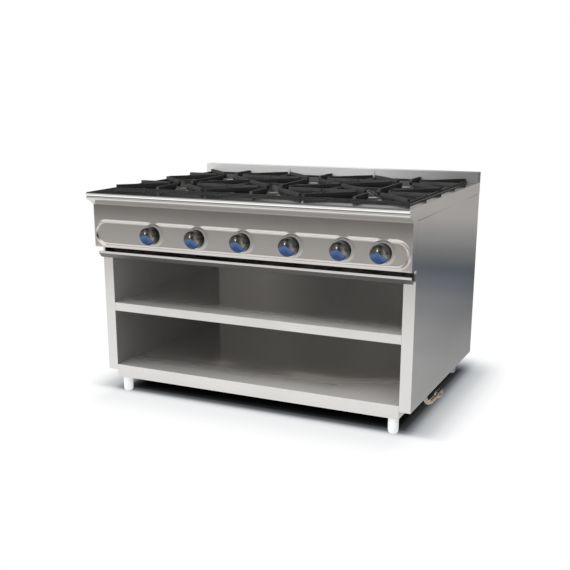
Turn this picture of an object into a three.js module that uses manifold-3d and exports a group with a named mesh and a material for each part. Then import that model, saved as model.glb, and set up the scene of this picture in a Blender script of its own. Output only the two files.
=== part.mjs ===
// Six-burner commercial gas range on an open cabinet base.
// Millimetres, +Z up, X across the front (left is negative), Y from the operator to the wall.
// Pieces are laid out with y = 0 near the front edge; the group is then centred on its footprint.
import * as THREE from "three";
import { mergeVertices } from "three/addons/utils/BufferGeometryUtils.js";
import Module from "manifold-3d";

const wasm = await Module();
wasm.setup();
const { Manifold, Mesh } = wasm;

// ---------------------------------------------------------------- driving dimensions
const HALF_W = 600; // half the overall width
const DEPTH = 900; // nose line to rear face
const SHEET = 2; // folded stainless sheet
const GAP = 0.3; // assembly gap between touching pieces

const TOP_Z = 770; // worktop surface
const FLANGE_Z = 727; // lower edge of the worktop's side and rear flanges

const BASE_Y = 80; // front plane of the cabinet stiles
const WALL_BOTTOM = 87; // side walls and rear cover
const WALL_TOP = FLANGE_Z - 1;
const STILE_W = 40; // stile width, and thickness of the boxed side wall
const INNER = HALF_W - STILE_W; // half the clear width of the cabinet
const RUNNER_Z = 525; // top of the drip tray runners

const COLUMN_PITCH = 374.5;
const COLUMNS = [
  { name: "left", x: -COLUMN_PITCH },
  { name: "centre", x: 0 },
  { name: "right", x: COLUMN_PITCH },
];
const ROWS = [
  { name: "front", y: 296 },
  { name: "rear", y: 664 },
];

const BURNER_Z = 712; // axis of the mixing tubes
const RAIL_TOP = 696; // burner rails under the hob

const KNOB_Z = 626;
const KNOB_TIP = -24; // y of the front of the knob grips
// Each knob's x, and the column and row of the burner it feeds.
const KNOBS = [
  { x: -346, column: 0, row: 0 },
  { x: -166, column: 0, row: 1 },
  { x: 10, column: 1, row: 0 },
  { x: 190, column: 1, row: 1 },
  { x: 370, column: 2, row: 0 },
  { x: 505, column: 2, row: 1 },
];

// ---------------------------------------------------------------- materials
const standard = (settings) => new THREE.MeshStandardMaterial(settings);
const steel = standard({ color: 0xb9b9b6, roughness: 0.35, metalness: 1 });
const innerSteel = standard({ color: 0x9a9894, roughness: 0.4, metalness: 1 });
const castIron = standard({ color: 0x1d1d1e, roughness: 0.6, metalness: 0.3 });
const enamel = standard({ color: 0x2a2b2c, roughness: 0.25, metalness: 0 });
const burnerIron = standard({ color: 0x3a3a3b, roughness: 0.6, metalness: 0.4 });
const capMetal = standard({ color: 0x8d8c88, roughness: 0.4, metalness: 1 });
const knobMetal = standard({ color: 0x4b4b4c, roughness: 0.35, metalness: 0.8 });
const brass = standard({ color: 0xb08a45, roughness: 0.35, metalness: 1 });
const copper = standard({ color: 0xb0764a, roughness: 0.35, metalness: 1 });
const aluminium = standard({ color: 0xb5b7ba, roughness: 0.4, metalness: 1 });
const footSteel = standard({ color: 0xd6d8da, roughness: 0.3, metalness: 0.9 });

// ---------------------------------------------------------------- solid helpers
// Manifold solid from a closed three.js geometry, turned right side out if need be.
function solid(geometry) {
  geometry.deleteAttribute("normal");
  geometry.deleteAttribute("uv");
  const welded = mergeVertices(geometry, 1e-4);
  const triangles = [];
  for (let i = 0; i < welded.index.count; i += 3) {
    const [a, b, c] = [0, 1, 2].map((k) => welded.index.getX(i + k));
    if (a !== b && b !== c && a !== c) triangles.push([a, b, c]);
  }
  const make = (list) =>
    new Manifold(
      new Mesh({
        numProp: 3,
        vertProperties: new Float32Array(welded.attributes.position.array),
        triVerts: new Uint32Array(list.flat()),
      }),
    );
  const body = make(triangles);
  return body.volume() >= 0 ? body : make(triangles.map(([a, b, c]) => [a, c, b]));
}

function geometryOf(manifold) {
  const mesh = manifold.asOriginal().simplify(0.02).getMesh();
  const geometry = new THREE.BufferGeometry();
  geometry.setAttribute("position", new THREE.Float32BufferAttribute(mesh.vertProperties, 3));
  geometry.setIndex(new THREE.Uint32BufferAttribute(mesh.triVerts, 1));
  geometry.computeVertexNormals();
  return geometry;
}

const union = (...parts) => parts.reduce((sum, part) => sum.add(part));
const cut = (body, ...tools) => tools.reduce((rest, tool) => rest.subtract(tool), body);

function box(x0, x1, y0, y1, z0, z1) {
  const geometry = new THREE.BoxGeometry(1, 1, 1);
  const corners = geometry.attributes.position;
  for (let i = 0; i < corners.count; i++)
    corners.setXYZ(
      i,
      corners.getX(i) < 0 ? x0 : x1,
      corners.getY(i) < 0 ? y0 : y1,
      corners.getZ(i) < 0 ? z0 : z1,
    );
  return solid(geometry);
}

// Box between two distances from the centre plane, on the left (side -1) or right (side 1).
function sideBox(side, near, far, ...yzLimits) {
  return box(Math.min(side * near, side * far), Math.max(side * near, side * far), ...yzLimits);
}

const shapeOf = (points) => new THREE.Shape(points.map(([a, b]) => new THREE.Vector2(a, b)));

function prism(points, depth, matrixRows) {
  const geometry = new THREE.ExtrudeGeometry(shapeOf(points), { depth, bevelEnabled: false });
  return solid(geometry.applyMatrix4(new THREE.Matrix4().set(...matrixRows, 0, 0, 0, 1)));
}

// Prism whose section is a (y, z) polygon, from x0 to x1.
const prismX = (points, x0, x1) => prism(points, x1 - x0, [0, 0, 1, x0, 1, 0, 0, 0, 0, 1, 0, 0]);

// Prism whose section is an (x, z) polygon, from y0 to y1.
const prismY = (points, y0, y1) => prism(points, y1 - y0, [1, 0, 0, 0, 0, 0, -1, y1, 0, 1, 0, 0]);

function cylinderZ(radius, x, y, z0, z1, segments) {
  const geometry = new THREE.CylinderGeometry(radius, radius, z1 - z0, segments);
  return solid(geometry.rotateX(Math.PI / 2).translate(x, y, (z0 + z1) / 2));
}

function cylinderY(radius, x, y0, y1, z, segments) {
  const geometry = new THREE.CylinderGeometry(radius, radius, y1 - y0, segments);
  return solid(geometry.translate(x, (y0 + y1) / 2, z));
}

// Turned about +Y from an (r, y) profile.
const lathe = (profile, segments) =>
  new THREE.LatheGeometry(profile.map(([r, y]) => new THREE.Vector2(r, y)), segments);
const turnY = (profile, segments) => solid(lathe(profile, segments));

// Turned about +Z from an (r, z) profile.
const turnZ = (profile, segments) => solid(lathe(profile, segments).rotateX(Math.PI / 2));

// Round bar along a smooth path.
function bar(points, radius, steps, sides) {
  const stations = points.map((point) => new THREE.Vector3(...point));
  const extrudePath = new THREE.CatmullRomCurve3(stations, false, "centripetal");
  const section = [];
  for (let i = 0; i < sides; i++) {
    const angle = (2 * Math.PI * i) / sides;
    section.push([radius * Math.cos(angle), radius * Math.sin(angle)]);
  }
  const options = { steps, extrudePath, bevelEnabled: false };
  return solid(new THREE.ExtrudeGeometry(shapeOf(section), options));
}

// Closed loft between two loops with the same number of points.
function loft(low, high) {
  const count = low.length;
  const positions = [];
  const triangle = (a, b, c) => positions.push(...a, ...b, ...c);
  const middle = (loop) => [0, 1, 2].map((k) => loop.reduce((sum, p) => sum + p[k], 0) / count);
  const lowMiddle = middle(low);
  const highMiddle = middle(high);
  for (let i = 0; i < count; i++) {
    const j = (i + 1) % count;
    triangle(low[i], low[j], high[j]);
    triangle(low[i], high[j], high[i]);
    triangle(low[j], low[i], lowMiddle);
    triangle(high[i], high[j], highMiddle);
  }
  const geometry = new THREE.BufferGeometry();
  geometry.setAttribute("position", new THREE.Float32BufferAttribute(positions, 3));
  return solid(geometry);
}

// ---------------------------------------------------------------- cabinet
const WALL_REAR = 896.5;
const RUNNER_IN = 15; // how far a runner reaches inwards of the side wall
const UPPER_STILE_W = 8; // stile above the runner

// Boxed side wall: outer skin, front stile, inner skin, drip tray runner and rear web.
function sideWall(side) {
  const rear = WALL_REAR - 2;
  const stileBack = BASE_Y + SHEET;
  const part = (...limits) => sideBox(side, ...limits);
  const wall = union(
    part(HALF_W - SHEET, HALF_W, BASE_Y, WALL_REAR, WALL_BOTTOM, WALL_TOP),
    part(INNER, HALF_W, BASE_Y, stileBack, WALL_BOTTOM, RUNNER_Z),
    part(INNER, INNER + SHEET, BASE_Y, rear, WALL_BOTTOM, RUNNER_Z),
    part(INNER - RUNNER_IN, HALF_W, stileBack, rear, RUNNER_Z - SHEET, RUNNER_Z),
    part(HALF_W - UPPER_STILE_W, HALF_W, BASE_Y, stileBack, RUNNER_Z - 1, WALL_TOP),
    part(INNER, HALF_W, WALL_REAR - 12, WALL_REAR - 10, WALL_BOTTOM, RUNNER_Z),
  );
  if (side < 0) return wall;
  const pipeOpening = box(574, HALF_W - SHEET, 108, 150, RUNNER_Z - 4, RUNNER_Z + 2);
  return cut(wall, pipeOpening);
}

// Rear cover with two rows of slots.
function backPanel() {
  const slotHalf = 50;
  const slotHeight = 8;
  let panel = box(-HALF_W + 1, HALF_W - 1, 897, 899, WALL_BOTTOM, WALL_TOP);
  for (let i = 0; i < 6; i++) {
    const x = -450 + i * 180;
    for (const z of [640, 664])
      panel = panel.subtract(box(x - slotHalf, x + slotHalf, 890, 905, z, z + slotHeight));
  }
  return panel;
}

const SHELF_HALF = INNER - 0.5;
const SHELF_REAR = 884;

// Folded shelf: top sheet, front apron with a return, rear and side flanges.
function shelf(top, drop) {
  const low = top - drop;
  return union(
    box(-SHELF_HALF, SHELF_HALF, BASE_Y, SHELF_REAR, top - SHEET, top),
    box(-SHELF_HALF, SHELF_HALF, BASE_Y, BASE_Y + SHEET, low, top),
    box(-SHELF_HALF, SHELF_HALF, BASE_Y, BASE_Y + 18, low, low + SHEET),
    box(-SHELF_HALF, SHELF_HALF, SHELF_REAR - SHEET, SHELF_REAR, low, top),
    box(-SHELF_HALF, -SHELF_HALF + SHEET, BASE_Y, SHELF_REAR, low, top),
    box(SHELF_HALF - SHEET, SHELF_HALF, BASE_Y, SHELF_REAR, low, top),
  );
}

const SIDES = [
  { name: "left", side: -1 },
  { name: "right", side: 1 },
];
const FOOT_X = 534;
// Foot positions, and the front and rear edges of the corner plates above them.
const FOOT_ROWS = [
  { name: "front", y: 108, plate: [BASE_Y, 160] },
  { name: "rear", y: 862, plate: [810, SHELF_REAR] },
];

// Bottom shelf with a drilled corner plate over each foot.
function bottomShelf() {
  const top = 108;
  const drop = 47;
  const low = top - drop;
  let floor = shelf(top, drop);
  for (const { side } of SIDES)
    for (const { y, plate } of FOOT_ROWS) {
      floor = floor.add(sideBox(side, 495, SHELF_HALF, ...plate, low, low + 4));
      floor = floor.subtract(cylinderZ(6.5, side * FOOT_X, y, low - 5, low + 8, 12));
    }
  return floor;
}

// Levelling foot: a turned leg with a stud that passes up through the corner plate. (r, z)
const FOOT_PROFILE = [
  [0, 0], [13, 0], [16.5, 5], [18, 14], [18, 60.5], [5, 60.5], [5, 98], [0, 98],
];

// Shallow pan with a full-width pull lip.
function dripTray() {
  const bottom = RUNNER_Z + GAP;
  const wall = 1.5;
  const half = 555;
  const front = 62;
  const rear = 878;
  const pan = cut(
    box(-half, half, front, rear, bottom, 546),
    box(-half + wall, half - wall, front + wall, rear - wall, bottom + wall, 560),
  );
  // Lip section (y, z).
  const lipSection = [
    [45, 542.5], [45, 549], [46.5, 550.5], [49, 550.5],
    [49, 545], [65, bottom + 3], [65, bottom], [front, bottom],
  ];
  return union(pan, prismX(lipSection, -596, 596));
}

// ---------------------------------------------------------------- hob top
// Outside of the folded front edge (y, z), from the top surface down to the control panel.
const NOSE = [
  [6, TOP_Z], [-3, TOP_Z], [-7.5, 768], [-10, 764.2], [-10, 760.5],
  [-8, 757.2], [-5.6, 756], [-7.6, 753.6], [-8, 750.4], [-6, 746.6],
  [-2, 743.6], [6, 740], [16, 734.8], [24, 730], [28, FLANGE_Z],
];
// Inside of the same fold (y, z).
const NOSE_IN = [
  [6, 768], [-2.4, 768], [-6, 766.4], [-8, 763.4], [-8, 761.2], [-6.6, 758.9],
  [-3, 757], [-3, 754.6], [-5.7, 752.6], [-6, 750.8], [-4.5, 748.2],
  [-1, 745.5], [6.8, 741.9], [17, 736.6], [25.4, 731.3], [30.4, FLANGE_Z],
];

// Sunken well of a spill pan, outside faces.
const WELL_HALF = 172;
const WELL_FRONT = 120;
const WELL_REAR = 838;
const WELL_BOTTOM = 742;
const WELL_CLEARANCE = 4; // between a well and its opening in the worktop

function worktop() {
  const skin = prismX([...NOSE, [DEPTH, FLANGE_Z], [DEPTH, TOP_Z]], -HALF_W, HALF_W);
  const rear = DEPTH - SHEET;
  const hollow = prismX(
    [...NOSE_IN, [30.4, 700], [rear, 700], [rear, TOP_Z - SHEET]],
    -HALF_W + SHEET,
    HALF_W - SHEET,
  );
  let top = cut(skin, hollow);
  const half = WELL_HALF + WELL_CLEARANCE;
  const openingY = [WELL_FRONT - WELL_CLEARANCE, WELL_REAR + WELL_CLEARANCE];
  for (const { x } of COLUMNS) top = top.subtract(box(x - half, x + half, ...openingY, 760, 780));
  // A rail under each burner row hangs from a post at each end.
  const railEnd = 596;
  const railBottom = RAIL_TOP - 6;
  for (const { y } of ROWS) {
    for (const { side } of SIDES)
      top = top.add(sideBox(side, railEnd - 8, railEnd, y - 14, y + 14, railBottom, TOP_Z - 1));
    top = top.add(box(-railEnd, railEnd, y - 14, y + 14, railBottom, RAIL_TOP));
  }
  return top;
}

// Hollow upstand along the rear, open below.
function rearUpstand() {
  const left = -588; // stops a little short of the left end
  const front = 852;
  const top = 810;
  return cut(
    box(left, HALF_W, front, DEPTH, TOP_Z + GAP, top),
    box(left + SHEET, HALF_W - SHEET, front + SHEET, DEPTH - SHEET, TOP_Z - 5, top - SHEET),
  );
}

// Enamelled pan under the front and rear burners of one column.
function spillPan() {
  const rimHalf = 186.5;
  const rimTop = TOP_Z + SHEET + GAP;
  let pan = union(
    box(-rimHalf, rimHalf, 107, 850.5, TOP_Z + GAP, rimTop),
    box(-WELL_HALF, WELL_HALF, WELL_FRONT, WELL_REAR, WELL_BOTTOM, rimTop),
  );
  const insideHalf = WELL_HALF - SHEET;
  const insideY = [WELL_FRONT + SHEET, WELL_REAR - SHEET];
  pan = cut(pan, box(-insideHalf, insideHalf, ...insideY, WELL_BOTTOM + SHEET, 790));
  // Raised collar round each burner hole.
  for (const { y } of ROWS) {
    pan = pan.add(cylinderZ(60, 0, y, WELL_BOTTOM, 750, 16));
    pan = pan.subtract(cylinderZ(56, 0, y, 730, 760, 16));
  }
  return pan;
}

// ---------------------------------------------------------------- control panel
const PANEL_Y = 32; // control panel face
const PANEL_Z0 = 568;
const PANEL_Z1 = 725;
const BEAD_Z = 622; // centre line of the pressed bead's racetrack
const BEAD_R = 43; // half its height, and the radius of its round ends
const BEAD_X = 590; // half its length
const BEAD_W = 4.5; // half the bead's width
const BEAD_H = 3.5; // how far it stands proud of the panel
const BOSS_R = 43; // round boss pressed round each knob
const BOSS_H = 1.5;

// Round-ended slot outline in (x, z), grown by `grow`, at depth y.
function slotLoop(grow, y) {
  const arcSteps = 10;
  const radius = BEAD_R + grow;
  const centreX = BEAD_X - BEAD_R;
  const loop = [];
  for (const side of [1, -1])
    for (let i = 0; i <= arcSteps; i++) {
      const turn = side < 0 ? Math.PI : 0;
      const angle = -Math.PI / 2 + (Math.PI * i) / arcSteps + turn;
      const x = side * centreX + radius * Math.cos(angle);
      loop.push([x, y, BEAD_Z + radius * Math.sin(angle)]);
    }
  return loop;
}

// Face with a raised bead and knob bosses, side cheeks and top and bottom returns.
function controlPanel() {
  const bead = cut(
    loft(slotLoop(BEAD_W, PANEL_Y + 1), slotLoop(1.2, PANEL_Y - BEAD_H)),
    loft(slotLoop(-BEAD_W, PANEL_Y + 1.2), slotLoop(-0.6, PANEL_Y - BEAD_H - 0.4)),
  );
  // (r, y)
  const bossProfile = [
    [0, PANEL_Y + 1],
    [BOSS_R, PANEL_Y + 1],
    [BOSS_R, PANEL_Y],
    [BOSS_R - 4, PANEL_Y - BOSS_H],
    [0, PANEL_Y - BOSS_H],
  ];
  const cheekY = [PANEL_Y + 1, BASE_Y - 0.5];
  const returnY = [PANEL_Y + 1, PANEL_Y + 24];
  const returnHalf = HALF_W - 1;
  const panel = union(
    box(-HALF_W, HALF_W, PANEL_Y, PANEL_Y + SHEET, PANEL_Z0, PANEL_Z1),
    bead,
    ...KNOBS.map(({ x }) => turnY(bossProfile, 24).translate([x, 0, KNOB_Z])),
    box(-HALF_W, -HALF_W + SHEET, ...cheekY, PANEL_Z0, PANEL_Z1),
    box(HALF_W - SHEET, HALF_W, ...cheekY, PANEL_Z0, PANEL_Z1),
    box(-returnHalf, returnHalf, ...returnY, PANEL_Z0, PANEL_Z0 + SHEET),
    box(-returnHalf, returnHalf, ...returnY, PANEL_Z1 - SHEET, PANEL_Z1),
  );
  return cut(panel, ...KNOBS.map(({ x }) => cylinderY(7.5, x, 10, 60, KNOB_Z, 12)));
}

// Control knob with its spindle, about its own axis: a turned body cut by a slope
// on its lower front, with an upright ridge to grip.
function knob() {
  const radius = 31;
  const back = 24.5;
  const front = -20;
  const spindleR = 4.4;
  const spindleEnd = 74;
  const profile = [
    [0, spindleEnd],
    [spindleR, spindleEnd],
    [spindleR, back],
    [radius, back],
    [radius, back - 7],
    [radius - 1.5, back - 9],
    [radius - 3, front + 3],
    [radius - 6, front],
    [0, front],
  ]; // (r, y)
  const slope = prismX([[-20.1, -3], [0, -32], [-40, -32], [-40, -3]], -40, 40);
  const ridge = box(-4, 4, KNOB_TIP, front + 3, -3.2, 23);
  return union(cut(turnY(profile, 20), slope), ridge);
}

// ---------------------------------------------------------------- taps and gas line
const TAP_HALF = 14; // half the height of a tap body
const OUTLET_Y = 80;
const OUTLET_TOP = 26; // above the knob axis

// Tap plug: turns with the spindle, which slides into it.
function tapPlug() {
  return cut(cylinderY(8, 0, 58, 92, 0, 14), cylinderY(5.1, 0, 50, 84, 0, 14));
}

// Tap body: block on the gas manifold with the plug's bore and an outlet on top.
function tapBody() {
  return cut(
    union(
      box(-15, 15, 56, 96, -TAP_HALF, TAP_HALF),
      cylinderZ(7, 0, OUTLET_Y, 10, OUTLET_TOP, 8),
      cylinderY(12, 0, 52, 58, 0, 12),
    ),
    cylinderY(8.8, 0, 40, 93, 0, 16),
  );
}

const TUBE_SIZE = 22; // square gas manifold tube
const TUBE_WALL = 3;
const TUBE_FRONT = 66;
const TUBE_RIGHT = 572;
const TUBE_TOP = KNOB_Z - TAP_HALF - GAP;

// Square tube under the taps, closed at the left and open at the right.
function gasManifold() {
  const left = -570;
  const rear = TUBE_FRONT + TUBE_SIZE;
  const bottom = TUBE_TOP - TUBE_SIZE;
  const wall = TUBE_WALL;
  return cut(
    box(left, TUBE_RIGHT, TUBE_FRONT, rear, bottom, TUBE_TOP),
    box(left + wall, TUBE_RIGHT + wall, TUBE_FRONT + wall, rear - wall, bottom + wall, TUBE_TOP - wall),
  );
}

// Pipe from the manifold's open end down the right side wall to a threaded end.
function gasInletPipe() {
  const y = TUBE_FRONT + TUBE_SIZE / 2;
  const z = TUBE_TOP - TUBE_SIZE / 2;
  // Pipe centre line (x, y, z).
  const path = [
    [TUBE_RIGHT + 2 * GAP, y, z], [581, y, z], [587, 90, z - 14],
    [587, 128, RUNNER_Z + 10], [587, 130, RUNNER_Z - 20], [588, 215, 330],
    [588, 262, 170], [588, 284, 92], [588, 316, 54], [588, 360, 38],
    [588, 405, 35], [588, 450, 33.5], [588, 478, 32],
  ];
  const nut = cylinderY(15, 586, 470, 498, 31, 6);
  const thread = cylinderY(10, 586, 496, 522, 31, 10);
  return union(bar(path, 7.5, 28, 8), nut, thread);
}

// Tube from a tap outlet to the front of its burner's mixing tube, with a hexagonal nut.
function supplyTube({ x, column, row }) {
  const runZ = 711;
  const burnerX = COLUMNS[column].x;
  const end = ROWS[row].y - 118;
  const start = KNOB_Z + OUTLET_TOP + GAP;
  const isRear = row === 1;
  const bend = isRear ? [[x, 400, runZ], [burnerX, 510, BURNER_Z]] : [[burnerX, 150, BURNER_Z]];
  const path = [
    [x, OUTLET_Y, start],
    [x, OUTLET_Y, start + 30],
    [x, 108, runZ],
    ...bend,
    [burnerX, end, BURNER_Z],
  ];
  const nut = cylinderY(8, burnerX, end - 8, end + 4, BURNER_Z, 6);
  return union(bar(path, 4, isRear ? 22 : 16, 6), nut);
}

// ---------------------------------------------------------------- burners
// Open cup of the burner casting (r, z).
const CUP_PROFILE = [
  [0, 704], [24, 704], [36, 722], [50, 744], [52, 748],
  [52, 757], [43, 757], [40, 746], [24, 728], [0, 728],
];

// Lift-off cap: a spigot that drops in the cup and a stepped disc. (r, z)
const CAP_PROFILE = [
  [0, 749], [30, 749], [36, 757 + GAP], [46, 757 + GAP], [48, 758.6],
  [47, 760], [37.5, 760.8], [36, 764.2], [0, 764.6],
];

// Burner casting: open cup, mixing tube towards the front, pad on the rail.
function burner() {
  const tube = cylinderY(13, 0, -112, 0, BURNER_Z, 10);
  const pad = box(-16, 16, -12, 12, RAIL_TOP + GAP, 706);
  return cut(
    union(turnZ(CUP_PROFILE, 14), tube, pad),
    cylinderY(9, 0, -120, 4, BURNER_Z, 8),
    cylinderZ(9, 0, 0, BURNER_Z, 740, 8),
  );
}

// Pan support: rectangular frame with eight arms reaching in over the burner.
function grate() {
  const halfX = 186;
  const halfY = 183;
  const bar = 12; // width of the frame
  const top = 787;
  const frameTop = 777;
  const seat = TOP_Z + SHEET + 2 * GAP;
  const frame = cut(
    box(-halfX, halfX, -halfY, halfY, seat, frameTop),
    box(-halfX + bar, halfX - bar, -halfY + bar, halfY - bar, 760, 790),
  );
  const arm = ([length, angle]) => {
    // Arm outline (distance from the burner axis, z).
    const outline = [
      [60, top - 3], [64, top], [length, top], [length, seat],
      [150, seat], [138, 764], [76, 764], [60, 774],
    ];
    return prismY(outline, -5.5, 5.5).rotate([0, 0, angle]);
  };
  const diagonal = (Math.atan2(halfY, halfX) * 180) / Math.PI;
  const diagonalLength = 253;
  // Length and angle in degrees of each arm.
  const arms = [
    [halfX, 0],
    [halfY, 90],
    [halfX, 180],
    [halfY, 270],
    [diagonalLength, diagonal],
    [diagonalLength, 180 - diagonal],
    [diagonalLength, 180 + diagonal],
    [diagonalLength, 360 - diagonal],
  ];
  return union(frame, ...arms.map(arm));
}

// ---------------------------------------------------------------- assembly
const range = new THREE.Group();
range.position.set(0, -(DEPTH + KNOB_TIP) / 2, 0); // origin under the middle of the footprint

function add(name, manifold, material, x = 0, y = 0, z = 0) {
  const mesh = new THREE.Mesh(geometryOf(manifold), material);
  mesh.name = name;
  mesh.position.set(x, y, z);
  range.add(mesh);
}

for (const { name, side } of SIDES) add("side_panel_" + name, sideWall(side), steel);
add("back_panel", backPanel(), innerSteel);
add("middle_shelf", shelf(351, 31), innerSteel);
add("bottom_shelf", bottomShelf(), innerSteel);
const foot = turnZ(FOOT_PROFILE, 14);
for (const row of FOOT_ROWS)
  for (const { name, side } of SIDES)
    add(`foot_${row.name}_${name}`, foot, footSteel, side * FOOT_X, row.y);
add("drip_tray", dripTray(), steel);

add("worktop", worktop(), steel);
add("rear_upstand", rearUpstand(), steel);
for (const { name, x } of COLUMNS) add("spill_pan_" + name, spillPan(), enamel, x);

add("control_panel", controlPanel(), steel);
KNOBS.forEach(({ x }, i) => {
  add(`knob_${i + 1}`, knob(), knobMetal, x, 0, KNOB_Z);
  add(`tap_plug_${i + 1}`, tapPlug(), brass, x, 0, KNOB_Z);
  add(`tap_body_${i + 1}`, tapBody(), brass, x, 0, KNOB_Z);
});
add("gas_manifold", gasManifold(), aluminium);
add("gas_inlet_pipe", gasInletPipe(), copper);
KNOBS.forEach((feed, i) => add(`supply_tube_${i + 1}`, supplyTube(feed), aluminium));

for (const column of COLUMNS)
  for (const row of ROWS) {
    const place = `${row.name}_${column.name}`;
    add("burner_" + place, burner(), burnerIron, column.x, row.y);
    add("burner_cap_" + place, turnZ(CAP_PROFILE, 16), capMetal, column.x, row.y);
    add("grate_" + place, grate(), castIron, column.x, row.y);
  }

export default range;
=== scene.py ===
"""Six-burner gas range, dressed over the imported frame.

Metres, +Z up. The cook stands on the -Y side and +X is the cook's right. Depths are measured in
millimetres behind the worktop's nose line and turned into Y by depth().
"""
import math

import bpy
import bmesh
import numpy as np
from mathutils import Matrix, Vector

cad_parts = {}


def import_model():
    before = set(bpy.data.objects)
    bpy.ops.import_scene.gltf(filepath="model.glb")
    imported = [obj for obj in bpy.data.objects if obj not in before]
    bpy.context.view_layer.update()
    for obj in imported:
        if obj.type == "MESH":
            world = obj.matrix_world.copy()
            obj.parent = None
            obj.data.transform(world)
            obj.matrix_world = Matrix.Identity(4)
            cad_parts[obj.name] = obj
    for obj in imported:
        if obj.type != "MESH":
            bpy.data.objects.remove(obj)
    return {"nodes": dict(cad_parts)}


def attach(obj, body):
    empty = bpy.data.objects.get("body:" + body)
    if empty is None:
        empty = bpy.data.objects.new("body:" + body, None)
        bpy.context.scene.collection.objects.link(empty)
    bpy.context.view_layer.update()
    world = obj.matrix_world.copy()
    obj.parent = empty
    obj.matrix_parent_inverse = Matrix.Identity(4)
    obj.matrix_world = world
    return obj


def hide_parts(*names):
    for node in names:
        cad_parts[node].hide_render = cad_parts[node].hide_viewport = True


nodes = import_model()["nodes"]
SCENE = bpy.context.scene

NOSE_OFFSET = 0.438  # the frame's origin lies this far behind the nose line


def depth(mm):
    """Y of a place given in millimetres behind the nose line."""
    return mm / 1000.0 - NOSE_OFFSET


HALF_WIDTH = 0.6
INNER_HALF = HALF_WIDTH - 0.0015  # inside of the worktop's end plates
TOP_Z = 0.770
REAR = 900                        # mm, rear of the cabinet
REAR_INNER = 898.4                # mm, inside of the rear flange
COLUMN_PITCH = 0.3745
COLUMNS = {"left": -COLUMN_PITCH, "centre": 0.0, "right": COLUMN_PITCH}
ROWS = {"front": 296.0, "rear": 664.0}  # mm behind the nose line
SIDES = ((-1, "left"), (1, "right"))


# ------------------------------------------------------------------ node graphs
class Graph:
    """A cleared node tree with an output; `coord` is the vector its textures are laid on."""

    def __init__(self, owner, output="OutputMaterial"):
        owner.use_nodes = True
        self.owner = owner
        self.tree = owner.node_tree
        self.tree.nodes.clear()
        self.output = self.node(output)
        self.coord = None

    def node(self, kind, **inputs):
        made = self.tree.nodes.new("ShaderNode" + kind)
        self.put(made, **inputs)
        return made

    def feed(self, socket, value):
        """Link another socket, or set a plain value; colours get full alpha."""
        if isinstance(value, bpy.types.NodeSocket):
            self.tree.links.new(value, socket)
        elif isinstance(value, tuple) and socket.type == "RGBA":
            socket.default_value = (*value, 1.0)
        else:
            socket.default_value = value

    def put(self, node, **inputs):
        for name, value in inputs.items():
            self.feed(node.inputs[name.replace("_", " ")], value)

    def finish(self, shader):
        self.feed(self.output.inputs[0], shader)

    def split(self, vector=None):
        node = self.node("SeparateXYZ")
        self.feed(node.inputs[0], vector or self.coord)
        return tuple(node.outputs)

    def attribute(self, name):
        node = self.node("Attribute")
        node.attribute_name = name
        return node.outputs["Fac"]

    def noise(self, size=1.0, detail=4.0, rough=0.55, stretch=(1, 1, 1)):
        mapping = self.node("Mapping", Scale=stretch, Vector=self.coord)
        texture = self.node("TexNoise", Scale=size, Detail=detail, Roughness=rough,
                            Vector=mapping.outputs[0])
        return texture.outputs["Fac"]

    def remap(self, value, span, to=(0.0, 1.0), smooth=False):
        """Carry the range `span` onto the range `to`, clamped."""
        node = self.node("MapRange")
        node.interpolation_type = "SMOOTHSTEP" if smooth else "LINEAR"
        node.clamp = True
        self.put(node, From_Min=span[0], From_Max=span[1], To_Min=to[0], To_Max=to[1],
                 Value=value)
        return node.outputs["Result"]

    def math(self, operation, *values):
        node = self.node("Math")
        node.operation = operation
        for socket, value in zip(node.inputs, values):
            self.feed(socket, value)
        return node.outputs[0]

    def add(self, a, b):
        return self.math("ADD", a, b)

    def sub(self, a, b):
        return self.math("SUBTRACT", a, b)

    def mul(self, a, b):
        return self.math("MULTIPLY", a, b)

    def mix(self, factor, low, high):
        """Colour `low` at factor 0, `high` at factor 1."""
        node = self.node("Mix")
        node.data_type = "RGBA"
        for index, value in ((0, factor), (6, low), (7, high)):
            self.feed(node.inputs[index], value)
        return node.outputs[2]

    def mix_shaders(self, factor, low, high):
        node = self.node("MixShader")
        for socket, value in zip(node.inputs, (factor, low, high)):
            self.feed(socket, value)
        return node.outputs[0]

    def scaled(self, colour, factor):
        """Colour times a grey factor."""
        node = self.node("VectorMath")
        node.operation = "MULTIPLY"
        grey = self.node("CombineXYZ")
        for socket in grey.inputs:
            self.feed(socket, factor)
        self.feed(node.inputs[0], colour)
        self.feed(node.inputs[1], grey.outputs[0])
        return node.outputs[0]

    def ramp(self, value, stops, mode="EASE"):
        """Colour ramp from (position, grey or colour) stops."""
        node = self.node("ValToRGB")
        bar = node.color_ramp
        bar.interpolation = mode
        while len(bar.elements) < len(stops):
            bar.elements.new(0.5)
        for element, (position, _) in zip(bar.elements, stops):
            element.position = position
        for element, (_, colour) in zip(bar.elements, stops):
            rgb = colour if isinstance(colour, tuple) else (colour,) * 3
            element.color = (*rgb, 1.0)
        self.put(node, Fac=value)
        return node.outputs["Color"]

    def emission(self, **inputs):
        return self.node("Emission", **inputs).outputs[0]

    def diffuse(self, colour):
        return self.node("BsdfDiffuse", Color=colour).outputs[0]


class Surface(Graph):
    """Material with a Principled shader, textured in object coordinates."""

    def __init__(self, name):
        super().__init__(bpy.data.materials.new(name))
        self.shader = self.node("BsdfPrincipled")
        self.finish(self.shader.outputs[0])
        self.coord = self.node("TexCoord").outputs["Object"]

    def look(self, **inputs):
        self.put(self.shader, **inputs)

    def bump(self, height, strength, distance):
        node = self.node("Bump", Strength=strength, Distance=distance, Height=height)
        self.look(Normal=node.outputs[0])


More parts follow.
